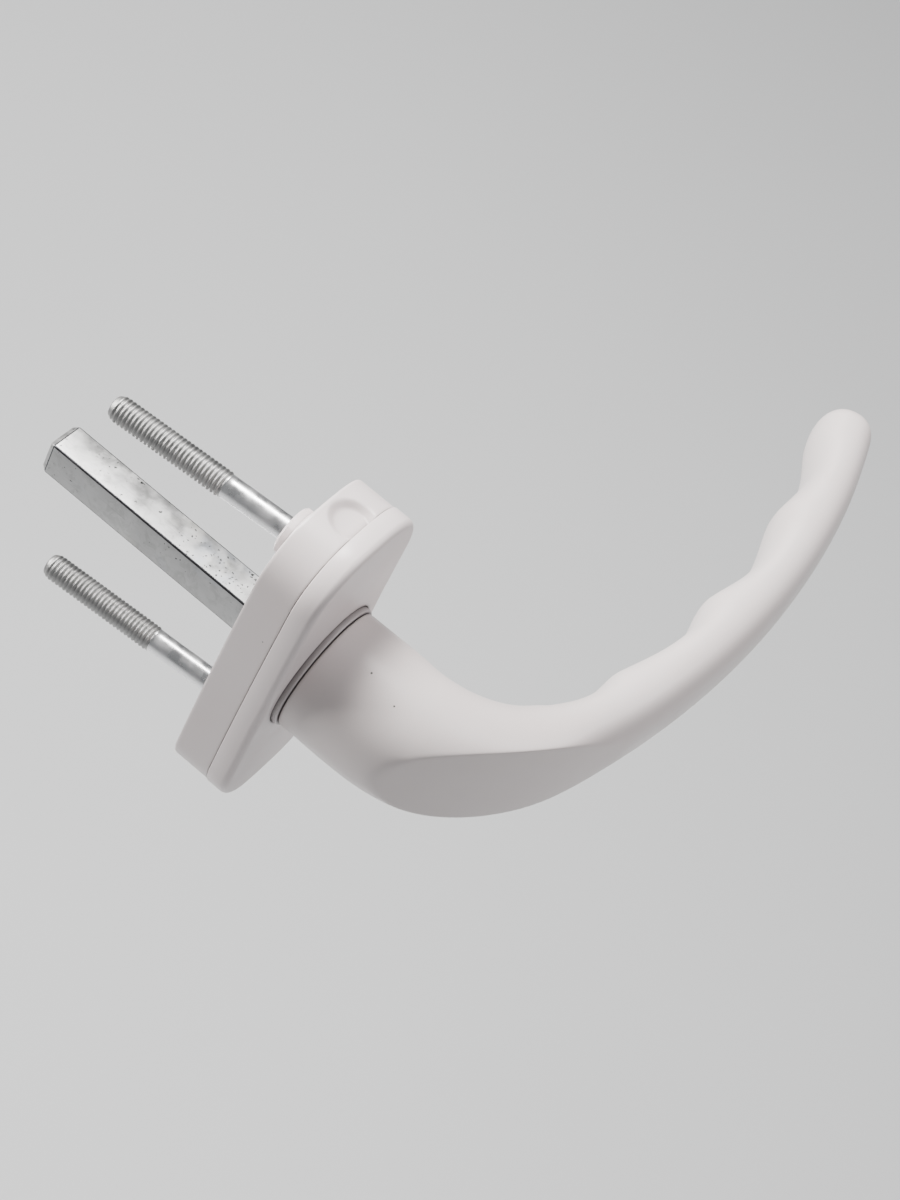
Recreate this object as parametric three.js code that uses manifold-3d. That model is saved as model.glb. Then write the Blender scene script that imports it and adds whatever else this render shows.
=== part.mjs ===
// Tilt and turn window handle: lever, spindle, detent and two-piece rose with its screws.
//
// Frame: millimetres, origin at the centre of the rose's mounting face, on the spindle axis.
// -Y points out of the sash towards the user, +Y into the sash, +Z along the rose's long side.
// The lever is drawn in its turn position, level, with its arm towards +X.
// "Height" below always means the distance out of the mounting face, so height h is y = -h.

import * as THREE from "three";
import { mergeVertices } from "three/addons/utils/BufferGeometryUtils.js";
import { LoftGeometry } from "three/addons/geometries/LoftGeometry.js";
import Module from "manifold-3d";

const wasm = await Module();
wasm.setup();

const GAP = 0.3;

// ---- Rose outline: a rounded rectangle whose four sides are shallow arcs
const ROSE_HALF_LENGTH = 32.6;
const ROSE_HALF_WIDTH = 15.1;
const ROSE_CORNER = 11.2;
const ROSE_SIDE_RADIUS = 470;
const ROSE_END_RADIUS = 53;

// ---- Rose heights. The base is drawn a little inside the cover's outline.
const BASE_HEIGHT = 7.4;
const BASE_INSET = 0.2;
const COVER_RIM_HEIGHT = 10.4;
const COVER_FACE_HEIGHT = 11.7;
const COVER_EDGE_INSET = 1.3;
const COVER_WALL = 1.6;
const COVER_CEILING = 10.2;
const COVER_CROWN_HEIGHT = 11.9;
const COVER_CROWN_RADIUS = 14.6;
const COVER_HOLE_RADIUS = 12.45;

// ---- Fixing screws, on the standard spacing
const SCREW_SPACING = 43;
const SCREW_HOLE_RADIUS = 2.9;
const SCREW_SEAT_RADIUS = 5.1;
const SCREW_SEAT_HEIGHT = 3.6;
const BOSS_RADIUS = 5.0;
const BOSS_STEP_RADIUS = 4.5;
const BOSS_STEP_LENGTH = 1.7;
const BOSS_LENGTH = 3.3;
const BOSS_CHAMFER = 0.4;
const SCREW_SHANK_RADIUS = 2.2;
const SCREW_THREAD_RADIUS = 2.45;
const SCREW_ROOT_RADIUS = 2.05;
const SCREW_PITCH = 0.8;
const SCREW_HEAD_RADIUS = 4.4;
const SCREW_HEAD_TOP = 6.9;
const SCREW_HEAD_THICKNESS = 2.6;
const SCREW_THREAD_START = 15.7;
const SCREW_TIP = 39.3;
const SCREW_LEAN_TO_END = THREE.MathUtils.degToRad(2.6);
const SCREW_LEAN_TO_SIDE = THREE.MathUtils.degToRad(2.9);
const SCREW_PIVOT_HEIGHT = 2.4;
const SCREW_SEGMENTS = 12;

// ---- Bearing collar between the rose and the lever
const COLLAR_RADIUS = 12.05;
const COLLAR_BORE = 9.3;
const COLLAR_SEAT_HEIGHT = 6.6;
const COLLAR_TOP = 12.9;
const SLIDE_RING_INNER = 12.4;
const SLIDE_RING_OUTER = 13.2;
const SLIDE_RING_BOTTOM = 8.2;
const SLIDE_RING_TOP = 9.9;

// ---- Detent chamber, opened from the back of the base
const CHAMBER_RADIUS = 9.6;
const CHAMBER_TOP = 5.8;
const CHAMBER_BORE = 7.0;
const BACK_PLATE_RADIUS = 12.9;
const BACK_PLATE_THICKNESS = 1.0;
const BACK_PLATE_INSET = 0.3;
const BACK_PLATE_BORE = 7.4;
const RIVET_COUNT = 4;
const RIVET_CIRCLE = 11.6;
const RIVET_SHANK_RADIUS = 0.7;
const RIVET_HEAD_RADIUS = 1.3;
const RIVET_DEPTH = 4.2;
const INDEX_RADIUS = 8.6;
const INDEX_BOTTOM = 2.6;
const INDEX_TOP = 4.7;
const INDEX_NOTCH_DEPTH = 0.7;
const NOTCH_COUNT = 4;
const BALL_RADIUS = 1.45;
const BALL_HEIGHT = 3.75;
const BALL_RIM_GAP = 0.1;
const POCKET_RADIUS = 1.7;
const POCKET_END = 15.6;
const SPRING_RADIUS = 1.15;
const SPRING_WIRE_RADIUS = 0.22;
const SPRING_TURNS = 4;
const WASHER_BOTTOM = 5.0;
const WASHER_TOP = 5.5;
const CLIP_BOTTOM = 1.6;
const CLIP_TOP = 2.3;

// ---- Lever hub, turning inside the collar and the base
const HUB_RADIUS = 9.0;
const HUB_BOTTOM = 8.6;
const STUB_RADIUS = 6.6;
const STUB_FLAT = 5.7;
const STUB_BOTTOM = 0.6;
const STUB_GROOVE_RADIUS = 5.8;
const FRICTION_WASHER_BOTTOM = 7.7;
const FRICTION_WASHER_TOP = 8.3;

// ---- Spindle and its grub screw
const SPINDLE_WIDTH = 7;
const SPINDLE_END = 46.8;
const SPINDLE_TOP = 30;
const SPINDLE_CHAMFER = 0.5;
const SOCKET_WIDTH = 7.5;
const SOCKET_TOP = 31;
const GRUB_HEIGHT = 20;
const GRUB_RADIUS = 2.5;
const GRUB_HOLE_RADIUS = 2.8;
const GRUB_LENGTH = 6;

// ---- Lever centre line in the X-height plane: straight neck, tight bend, long shallow arm
const NECK_BOTTOM = 13.2;
const BEND_RADIUS = 24.8;
const ARM_RADIUS = 192;
const ARM_APEX_X = 69.7;
const ARM_APEX_HEIGHT = 57.5;
const ARM_END_X = 127.6;

// ---- Lever section, as half thickness and half width at stations along the centre line
const NECK_RADIUS = 11.9;
const NECK_FOOT_RADIUS = 11.5;
const BEND_HALF = { thick: 10.1, wide: 11.0 };
const ARM_ROOT_HALF = { thick: 6.5, wide: 9.9 };
const ARM_HALF = { thick: 5.8, wide: 8.6 };
const ARM_END_HALF = { thick: 5.5, wide: 7.4 };
const ROUND_UNTIL = 15;
const SQUARED_FROM = 40;
const SQUARED_POWER = 2.3;
const TIP_LENGTH = 6.1;
const TIP_STEPS = 7;

// ---- Finger grips on the side of the arm that faces the sash: how far the side stands out of
// the plain oval section (or in, when negative) at its hollows and ridges, by distance along X.
// They alternate, starting with a hollow at the foot of the bend.
const GRIP_TURNS = [
  { x: 4, rise: 0 },
  { x: 15, rise: 1.1 },
  { x: 28, rise: -0.75 },
  { x: 36.8, rise: 0.4 },
  { x: 56.5, rise: -1.5 },
  { x: 67.3, rise: 0.5 },
  { x: 82.3, rise: -2.05 },
  { x: 99.5, rise: 0.15 },
  { x: 112.8, rise: -1.9 },
  { x: 125, rise: 0.35 },
];
const GRIP_SHARPNESS = 1.3;

// ---- Thumb flat on the outside of the bend, ground by a wheel lying along Z
const THUMB_WHEEL_RADIUS = 75;
const THUMB_WHEEL_X = 48.5;
const THUMB_WHEEL_HEIGHT = -13.4;

// ---- Mesh fineness
const LEVER_STATIONS = 64;
const LEVER_AROUND = 26;
const ROUND_SEGMENTS = 36;

// ---- Materials
const WHITE_COAT = { color: 0xdedad8, roughness: 0.38, metalness: 0.0 };
const WHITE_PLASTIC = { color: 0xdcd8d5, roughness: 0.5, metalness: 0.0 };
const GREY_PLASTIC = { color: 0xb9b4b2, roughness: 0.55, metalness: 0.0 };
const BRIGHT_ZINC = { color: 0xb8b8ba, roughness: 0.35, metalness: 0.9 };
const PLAIN_STEEL = { color: 0x9da0a3, roughness: 0.32, metalness: 0.95 };
const NATURAL_NYLON = { color: 0xd8d2bf, roughness: 0.6, metalness: 0.0 };

// ---------------------------------------------------------------- solids

// Keeps only the positions, welds them and turns the shell so that it faces out.
function closedShell(geometry) {
  const bare = new THREE.BufferGeometry();
  bare.setAttribute("position", geometry.getAttribute("position"));
  bare.setIndex(geometry.index);
  const welded = mergeVertices(bare, 1e-4);
  const at = welded.getAttribute("position");
  const a = new THREE.Vector3();
  const b = new THREE.Vector3();
  const c = new THREE.Vector3();
  const kept = [];
  let volume = 0;
  for (let i = 0; i < welded.index.count; i += 3) {
    const [p, q, r] = [0, 1, 2].map((k) => welded.index.getX(i + k));
    if (p === q || q === r || r === p) continue;
    kept.push(p, q, r);
    a.fromBufferAttribute(at, p);
    b.fromBufferAttribute(at, q);
    c.fromBufferAttribute(at, r);
    volume += a.dot(b.cross(c));
  }
  if (volume < 0) kept.reverse();
  welded.setIndex(kept);
  return welded;
}

function solid(geometry) {
  const shell = closedShell(geometry);
  return new wasm.Manifold(
    new wasm.Mesh({
      numProp: 3,
      vertProperties: new Float32Array(shell.getAttribute("position").array),
      triVerts: new Uint32Array(shell.index.array),
    }),
  );
}

function geometryOf(body) {
  const mesh = body.getMesh();
  const geometry = new THREE.BufferGeometry();
  geometry.setAttribute("position", new THREE.BufferAttribute(mesh.vertProperties.slice(), 3));
  geometry.setIndex(new THREE.BufferAttribute(mesh.triVerts.slice(), 1));
  geometry.computeVertexNormals();
  return geometry;
}

// Turned body on the spindle axis. The profile is a list of [radius, height] corners.
function turned(profile, segments = ROUND_SEGMENTS) {
  const points = profile.map(([radius, height]) => new THREE.Vector2(radius, -height));
  if (profile[0][0] > 0) points.push(points[0].clone());
  return solid(new THREE.LatheGeometry(points, segments));
}

// Ring or tube between two heights.
function tube(inner, outer, bottom, top, segments = ROUND_SEGMENTS) {
  return turned([[inner, bottom], [outer, bottom], [outer, top], [inner, top]], segments);
}

function disc(radius, bottom, top, segments = ROUND_SEGMENTS) {
  return turned([[0, bottom], [radius, bottom], [radius, top], [0, top]], segments);
}

function block(width, bottom, top, length, x = 0, z = 0) {
  const box = new THREE.BoxGeometry(width, top - bottom, length);
  box.translate(x, -(bottom + top) / 2, z);
  return solid(box);
}

// Extrudes a flat outline, drawn with x across and y along +Z, from one height to another.
function risen(shape, bottom, top, options = {}) {
  const geometry = new THREE.ExtrudeGeometry(shape, {
    depth: top - bottom,
    bevelEnabled: false,
    curveSegments: 6,
    ...options,
  });
  geometry.rotateX(Math.PI / 2);
  geometry.translate(0, -bottom, 0);
  return solid(geometry);
}

function meshOf(name, body, look) {
  const geometry = body.isBufferGeometry ? body : geometryOf(body);
  const mesh = new THREE.Mesh(geometry, new THREE.MeshStandardMaterial(look));
  mesh.name = name;
  return mesh;
}

// ---------------------------------------------------------------- rose outline

// Where a corner circle touches both side arcs from the inside.
function cornerCentre(halfWidth, halfLength, corner) {
  const side = new THREE.Vector2(halfWidth - ROSE_SIDE_RADIUS, 0);
  const end = new THREE.Vector2(0, halfLength - ROSE_END_RADIUS);
  const fromSide = ROSE_SIDE_RADIUS - corner;
  const fromEnd = ROSE_END_RADIUS - corner;
  const between = end.clone().sub(side);
  const span = between.length();
  const along = (fromSide ** 2 - fromEnd ** 2 + span ** 2) / (2 * span);
  const across = Math.sqrt(fromSide ** 2 - along ** 2);
  const unit = between.divideScalar(span);
  const normal = new THREE.Vector2(unit.y, -unit.x);
  const first = side.clone().addScaledVector(unit, along).addScaledVector(normal, across);
  const second = side.clone().addScaledVector(unit, along).addScaledVector(normal, -across);
  return first.x > 0 && first.y > 0 ? first : second;
}

// The rose's outline, drawn smaller by an inset all round.
function roseOutline(inset = 0) {
  const halfWidth = ROSE_HALF_WIDTH - inset;
  const halfLength = ROSE_HALF_LENGTH - inset;
  const corner = ROSE_CORNER - inset;
  const centre = cornerCentre(halfWidth, halfLength, corner);
  const sideCentreX = halfWidth - ROSE_SIDE_RADIUS;
  const endCentreY = halfLength - ROSE_END_RADIUS;
  const toSide = Math.atan2(centre.y, centre.x - sideCentreX);
  const toEnd = Math.atan2(centre.y - endCentreY, centre.x);
  const shape = new THREE.Shape();
  const quarter = Math.PI / 2;
  shape.absarc(sideCentreX, 0, ROSE_SIDE_RADIUS, -toSide, toSide, false);
  shape.absarc(centre.x, centre.y, corner, toSide, toEnd, false);
  shape.absarc(0, endCentreY, ROSE_END_RADIUS, toEnd, 2 * quarter - toEnd, false);
  shape.absarc(-centre.x, centre.y, corner, 2 * quarter - toEnd, 2 * quarter - toSide, false);
  shape.absarc(-sideCentreX, 0, ROSE_SIDE_RADIUS, 2 * quarter - toSide, 2 * quarter + toSide, false);
  shape.absarc(-centre.x, -centre.y, corner, 2 * quarter + toSide, 2 * quarter + toEnd, false);
  shape.absarc(0, -endCentreY, ROSE_END_RADIUS, 2 * quarter + toEnd, 4 * quarter - toEnd, false);
  shape.absarc(centre.x, -centre.y, corner, 4 * quarter - toEnd, 4 * quarter - toSide, false);
  shape.closePath();
  return shape;
}

// ---------------------------------------------------------------- base and its fittings

function makeBase() {
  let base = risen(roseOutline(BASE_INSET), 0, BASE_HEIGHT);
  for (const side of [1, -1]) {
    const z = (side * SCREW_SPACING) / 2;
    const boss = turned([
      [0, 1],
      [BOSS_RADIUS, 1],
      [BOSS_RADIUS, -BOSS_STEP_LENGTH],
      [BOSS_STEP_RADIUS, -BOSS_STEP_LENGTH],
      [BOSS_STEP_RADIUS, -BOSS_LENGTH + BOSS_CHAMFER],
      [BOSS_STEP_RADIUS - BOSS_CHAMFER, -BOSS_LENGTH],
      [0, -BOSS_LENGTH],
    ], 28);
    base = base.add(boss.translate([0, 0, z]));
    base = base.subtract(disc(SCREW_HOLE_RADIUS, -BOSS_LENGTH - 1, BASE_HEIGHT + 1, 20).translate([0, 0, z]));
    base = base.subtract(disc(SCREW_SEAT_RADIUS, SCREW_SEAT_HEIGHT, BASE_HEIGHT + 1, 24).translate([0, 0, z]));
    base = base.subtract(ballPocket(side));
  }
  // Collar seat in front, chamber and closing plate recess behind, bore right through
  base = base.subtract(tube(COLLAR_BORE - GAP, COLLAR_RADIUS + GAP, COLLAR_SEAT_HEIGHT, BASE_HEIGHT + 1));
  base = base.subtract(disc(CHAMBER_RADIUS, -1, CHAMBER_TOP));
  base = base.subtract(disc(CHAMBER_BORE, -1, BASE_HEIGHT + 1));
  base = base.subtract(disc(BACK_PLATE_RADIUS + GAP, -1, BACK_PLATE_INSET + BACK_PLATE_THICKNESS + GAP));
  for (const [x, z] of rivetPlaces()) {
    base = base.subtract(disc(RIVET_SHANK_RADIUS + GAP, -1, RIVET_DEPTH + GAP, 12).translate([x, 0, z]));
  }
  return base.subtract(pryNotch());
}

// Thumbnail scoop in the end wall, for lifting the cover with a coin or a nail.
function pryNotch() {
  const radius = 4.6;
  const depth = 1.5;
  const scoop = new THREE.CylinderGeometry(radius, radius * 0.72, 3.2, 28);
  scoop.rotateX(Math.PI / 2);
  scoop.translate(0, -BASE_HEIGHT + 2.6, ROSE_HALF_LENGTH - depth + 1.6);
  return solid(scoop);
}

// Round pocket bored outwards from the chamber for a detent ball and its spring.
function ballPocket(side) {
  const start = 8;
  const bore = new THREE.CylinderGeometry(POCKET_RADIUS, POCKET_RADIUS, POCKET_END - start, 20);
  bore.rotateX(Math.PI / 2);
  bore.translate(0, -BALL_HEIGHT, (side * (POCKET_END + start)) / 2);
  return solid(bore);
}

function rivetPlaces() {
  const places = [];
  for (let i = 0; i < RIVET_COUNT; i += 1) {
    const angle = (Math.PI * (2 * i + 1)) / RIVET_COUNT;
    places.push([RIVET_CIRCLE * Math.cos(angle), RIVET_CIRCLE * Math.sin(angle)]);
  }
  return places;
}

function rivetBody(extra) {
  const face = BACK_PLATE_INSET;
  return turned([
    [0, face],
    [RIVET_HEAD_RADIUS + extra, face],
    [RIVET_SHANK_RADIUS + extra, face + 0.6],
    [RIVET_SHANK_RADIUS + extra, RIVET_DEPTH],
    [0, RIVET_DEPTH],
  ], 16);
}

function makeBackPlate() {
  const top = BACK_PLATE_INSET + BACK_PLATE_THICKNESS;
  let plate = tube(BACK_PLATE_BORE, BACK_PLATE_RADIUS, BACK_PLATE_INSET, top);
  for (const [x, z] of rivetPlaces()) {
    plate = plate.subtract(rivetBody(GAP).translate([x, 0, z]));
    plate = plate.subtract(disc(RIVET_HEAD_RADIUS + GAP, 0, BACK_PLATE_INSET + 0.01, 16).translate([x, 0, z]));
  }
  return plate;
}

function makeCollar() {
  const lip = 0.25;
  return turned([
    [COLLAR_BORE, COLLAR_SEAT_HEIGHT + GAP],
    [COLLAR_RADIUS, COLLAR_SEAT_HEIGHT + GAP],
    [COLLAR_RADIUS, COLLAR_TOP - lip],
    [COLLAR_RADIUS - lip, COLLAR_TOP],
    [COLLAR_BORE, COLLAR_TOP],
  ], 48);
}

// ---------------------------------------------------------------- cover

function makeCover() {
  const bevel = COVER_EDGE_INSET;
  const rim = BASE_HEIGHT + GAP;
  const skirt = risen(roseOutline(), rim, COVER_RIM_HEIGHT);
  const shoulder = risen(roseOutline(bevel), COVER_RIM_HEIGHT, COVER_RIM_HEIGHT, {
    depth: 0.001,
    bevelEnabled: true,
    bevelThickness: COVER_FACE_HEIGHT - COVER_RIM_HEIGHT,
    bevelSize: bevel,
    bevelSegments: 2,
  });
  const crown = turned([
    [0, COVER_CEILING],
    [COVER_CROWN_RADIUS, COVER_CEILING],
    [COVER_CROWN_RADIUS, COVER_FACE_HEIGHT],
    [COVER_HOLE_RADIUS, COVER_CROWN_HEIGHT],
    [0, COVER_CROWN_HEIGHT],
  ], 48);
  const hollow = risen(roseOutline(COVER_WALL), rim - 1, COVER_CEILING);
  let cover = skirt.add(shoulder).add(crown);
  cover = cover.subtract(hollow);
  return cover.subtract(disc(COVER_HOLE_RADIUS, 0, 20, 48));
}

// Thin ring that rides up and down the collar with the cover and lets the cover turn on it.
function makeSlideRing() {
  return tube(SLIDE_RING_INNER, SLIDE_RING_OUTER, SLIDE_RING_BOTTOM, SLIDE_RING_TOP, 48);
}

// ---------------------------------------------------------------- lever

// Centre line by distance travelled: position, direction, and the unit step to its outer side.
function leverPath() {
  const armCentreHeight = ARM_APEX_HEIGHT - ARM_RADIUS;
  const between = ARM_RADIUS - BEND_RADIUS;
  const bendCentreHeight = armCentreHeight + Math.sqrt(between ** 2 - (ARM_APEX_X - BEND_RADIUS) ** 2);
  const meet = Math.atan2(bendCentreHeight - armCentreHeight, BEND_RADIUS - ARM_APEX_X);
  const end = Math.acos((ARM_END_X - ARM_APEX_X) / ARM_RADIUS);
  const neck = bendCentreHeight - NECK_BOTTOM;
  const bend = (Math.PI - meet) * BEND_RADIUS;
  const arm = (meet - end) * ARM_RADIUS;
  const onArc = (cx, ch, radius, angle) => ({
    x: cx + radius * Math.cos(angle),
    height: ch + radius * Math.sin(angle),
    outX: Math.cos(angle),
    outHeight: Math.sin(angle),
  });
  const at = (s) => {
    if (s <= neck) return { x: 0, height: NECK_BOTTOM + s, outX: -1, outHeight: 0 };
    if (s <= neck + bend) {
      return onArc(BEND_RADIUS, bendCentreHeight, BEND_RADIUS, Math.PI - (s - neck) / BEND_RADIUS);
    }
    return onArc(ARM_APEX_X, armCentreHeight, ARM_RADIUS, meet - (s - neck - bend) / ARM_RADIUS);
  };
  return { at, neck, bend, arm, length: neck + bend + arm };
}

// Smooth curve through [distance, value] stations.
function through(stations, s) {
  let i = 0;
  while (i < stations.length - 2 && s > stations[i + 1][0]) i += 1;
  const slope = (k) => {
    const before = stations[Math.max(k - 1, 0)];
    const after = stations[Math.min(k + 1, stations.length - 1)];
    return (after[1] - before[1]) / (after[0] - before[0]);
  };
  const [s0, v0] = stations[i];
  const [s1, v1] = stations[i + 1];
  const span = s1 - s0;
  const t = THREE.MathUtils.clamp((s - s0) / span, 0, 1);
  const t2 = t * t;
  const t3 = t2 * t;
  const ends = v0 * (2 * t3 - 3 * t2 + 1) + v1 * (3 * t2 - 2 * t3);
  const bends = slope(i) * (t3 - 2 * t2 + t) + slope(i + 1) * (t3 - t2);
  return ends + bends * span;
}

// Rise of the grip side at x: round hollows that run up into narrower ridges.
function gripRise(x) {
  const last = GRIP_TURNS.length - 1;
  if (x <= GRIP_TURNS[0].x) return GRIP_TURNS[0].rise;
  if (x >= GRIP_TURNS[last].x) return GRIP_TURNS[last].rise;
  const i = GRIP_TURNS.findIndex((turn) => turn.x > x);
  const [ridge, hollow] = i % 2 === 0 ? [GRIP_TURNS[i - 1], GRIP_TURNS[i]] : [GRIP_TURNS[i], GRIP_TURNS[i - 1]];
  const away = Math.sin((Math.PI / 2) * ((x - ridge.x) / (hollow.x - ridge.x)));
  return ridge.rise + (hollow.rise - ridge.rise) * away ** GRIP_SHARPNESS;
}

// One closed ring of points round the lever. Scale and lead shrink and advance it for the tip.
function leverRing(path, s, stations, scale = 1, lead = 0) {
  const centre = path.at(s);
  const thick = through(stations.thick, s);
  const wide = through(stations.wide, s);
  const grip = 1 + gripRise(centre.x) / thick;
  const squared = THREE.MathUtils.clamp((s - ROUND_UNTIL) / (SQUARED_FROM - ROUND_UNTIL), 0, 1);
  const squeeze = (v) => THREE.MathUtils.lerp(v, Math.sign(v) * Math.abs(v) ** (2 / SQUARED_POWER), squared);
  const ring = [];
  for (let i = 0; i < LEVER_AROUND; i += 1) {
    const angle = (-2 * Math.PI * i) / LEVER_AROUND;
    let out = squeeze(Math.cos(angle)) * thick * scale;
    if (out < 0) out *= grip;
    const side = squeeze(Math.sin(angle)) * wide * scale;
    const x = centre.x + centre.outX * out + centre.outHeight * lead;
    const height = centre.height + centre.outHeight * out - centre.outX * lead;
    ring.push(new THREE.Vector3(x, -height, side));
  }
  return ring;
}

function leverStations(path) {
  const bendMiddle = path.neck + path.bend / 2;
  const bendEnd = path.neck + path.bend;
  const settled = bendEnd + 18;
  const tip = path.length;
  const list = (key) => [
    [0, NECK_RADIUS],
    [path.neck, NECK_RADIUS],
    [bendMiddle, BEND_HALF[key]],
    [bendEnd, ARM_ROOT_HALF[key]],
    [settled, ARM_HALF[key]],
    [bendEnd + 85, ARM_HALF[key]],
    [tip, ARM_END_HALF[key]],
  ];
  return { thick: list("thick"), wide: list("wide") };
}

function makeGrip() {
  const path = leverPath();
  const stations = leverStations(path);
  const rings = [leverRing(path, 0, stations, NECK_FOOT_RADIUS / NECK_RADIUS)];
  for (let i = 0; i <= LEVER_STATIONS; i += 1) {
    const s = 0.5 + ((path.length - 0.5) * i) / LEVER_STATIONS;
    rings.push(leverRing(path, s, stations));
  }
  for (let i = 1; i <= TIP_STEPS; i += 1) {
    const angle = (Math.PI / 2) * (i / TIP_STEPS) * 0.97;
    rings.push(leverRing(path, path.length, stations, Math.cos(angle), TIP_LENGTH * Math.sin(angle)));
  }
  return solid(new LoftGeometry(rings, { capStart: true, capEnd: true }));
}

// Everything outside the thumb wheel, on the outside of the bend only.
function thumbCut() {
  const wheel = new THREE.CylinderGeometry(THUMB_WHEEL_RADIUS, THUMB_WHEEL_RADIUS, 60, 240);
  wheel.rotateX(Math.PI / 2);
  wheel.translate(THUMB_WHEEL_X, -THUMB_WHEEL_HEIGHT, 0);
  return block(56, 28, 75, 50, 6, 0).subtract(solid(wheel));
}

function makeLever() {
  let lever = makeGrip().subtract(thumbCut());
  // Hub in the collar, then the stub that carries the index disc and the retaining ring
  lever = lever.add(disc(HUB_RADIUS, HUB_BOTTOM, NECK_BOTTOM + 2));
  lever = lever.add(disc(STUB_RADIUS, STUB_BOTTOM, HUB_BOTTOM + 1));
  lever = lever.subtract(tube(STUB_GROOVE_RADIUS, STUB_RADIUS + 1, CLIP_BOTTOM - 0.1, CLIP_TOP + 0.1));
  for (const side of [1, -1]) {
    const flat = block(2, 0, INDEX_TOP + 0.2, 14, side * (STUB_FLAT + 1), 0);
    lever = lever.subtract(flat);
  }
  lever = lever.subtract(block(SOCKET_WIDTH, -1, SOCKET_TOP, SOCKET_WIDTH));
  const grubHole = new THREE.CylinderGeometry(GRUB_HOLE_RADIUS, GRUB_HOLE_RADIUS, 12, 20);
  grubHole.rotateX(Math.PI / 2);
  grubHole.translate(0, -GRUB_HEIGHT, -8);
  return lever.subtract(solid(grubHole));
}

// ---------------------------------------------------------------- spindle and detent

function makeSpindle() {
  const half = SPINDLE_WIDTH / Math.SQRT2;
  const chamfer = SPINDLE_CHAMFER;
  const bar = turned([
    [0, -SPINDLE_END],
    [half - chamfer, -SPINDLE_END],
    [half, -SPINDLE_END + chamfer],
    [half, SPINDLE_TOP - chamfer],
    [half - chamfer, SPINDLE_TOP],
    [0, SPINDLE_TOP],
  ], 4);
  return bar.rotate([0, 45, 0]);
}

// Hexagon socket grub screw lying along Z, its point against the spindle.
function makeGrubScrew() {
  const start = SPINDLE_WIDTH / 2 + GAP;
  const body = new THREE.CylinderGeometry(GRUB_RADIUS, GRUB_RADIUS, GRUB_LENGTH, 20);
  const key = new THREE.CylinderGeometry(1.44, 1.44, 5, 6);
  body.rotateX(Math.PI / 2);
  key.rotateX(Math.PI / 2);
  body.translate(0, -GRUB_HEIGHT, -start - GRUB_LENGTH / 2);
  key.translate(0, -GRUB_HEIGHT, -start - GRUB_LENGTH);
  return solid(body).subtract(solid(key));
}

// Steel disc with a notch at every quarter turn, keyed to the flats of the stub.
function makeIndexDisc() {
  const bore = STUB_RADIUS + GAP;
  const keyed = disc(bore, 0, 8).intersect(block(2 * (STUB_FLAT + GAP), -1, 9, 40));
  let plate = disc(INDEX_RADIUS, INDEX_BOTTOM, INDEX_TOP, 48).subtract(keyed);
  const notchRadius = BALL_RADIUS + GAP;
  const reach = INDEX_RADIUS - INDEX_NOTCH_DEPTH + notchRadius;
  for (let i = 0; i < NOTCH_COUNT; i += 1) {
    const angle = (2 * Math.PI * i) / NOTCH_COUNT;
    const notch = disc(notchRadius, 0, 8, 20);
    plate = plate.subtract(notch.translate([reach * Math.cos(angle), 0, reach * Math.sin(angle)]));
  }
  return plate;
}

function makeThrustWasher() {
  return tube(STUB_RADIUS + GAP, CHAMBER_RADIUS - GAP, WASHER_BOTTOM, WASHER_TOP);
}

function makeFrictionWasher() {
  return tube(STUB_RADIUS + 0.6, HUB_RADIUS - 0.1, FRICTION_WASHER_BOTTOM, FRICTION_WASHER_TOP);
}

// Open spring ring in the groove of the stub.
function makeRetainingRing() {
  const ring = tube(STUB_GROOVE_RADIUS + GAP, STUB_RADIUS + 1.4, CLIP_BOTTOM, CLIP_TOP);
  return ring.subtract(block(3.4, 0, 5, 12, 0, -8));
}

function ballReach() {
  return INDEX_RADIUS + BALL_RIM_GAP + BALL_RADIUS;
}

function makeBall(side) {
  const ball = new THREE.SphereGeometry(BALL_RADIUS, 18, 12);
  ball.translate(0, -BALL_HEIGHT, side * ballReach());
  return closedShell(ball);
}

class Coil extends THREE.Curve {
  constructor(radius, turns, from, to) {
    super();
    Object.assign(this, { radius, turns, from, to });
  }

  getPoint(t, target = new THREE.Vector3()) {
    const angle = 2 * Math.PI * this.turns * t;
    const z = THREE.MathUtils.lerp(this.from, this.to, t);
    return target.set(this.radius * Math.cos(angle), this.radius * Math.sin(angle), z);
  }
}

function makeSpring(side) {
  const inner = ballReach() + BALL_RADIUS + GAP + SPRING_WIRE_RADIUS;
  const outer = POCKET_END - GAP - SPRING_WIRE_RADIUS;
  const wire = new THREE.Shape();
  wire.absarc(0, 0, SPRING_WIRE_RADIUS, 0, 2 * Math.PI, false);
  const coil = new THREE.ExtrudeGeometry(wire, {
    steps: SPRING_TURNS * 12,
    curveSegments: 3,
    extrudePath: new Coil(SPRING_RADIUS, SPRING_TURNS, side * inner, side * outer),
  });
  coil.translate(0, -BALL_HEIGHT, 0);
  return closedShell(coil);
}

// ---------------------------------------------------------------- fixing screws

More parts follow.
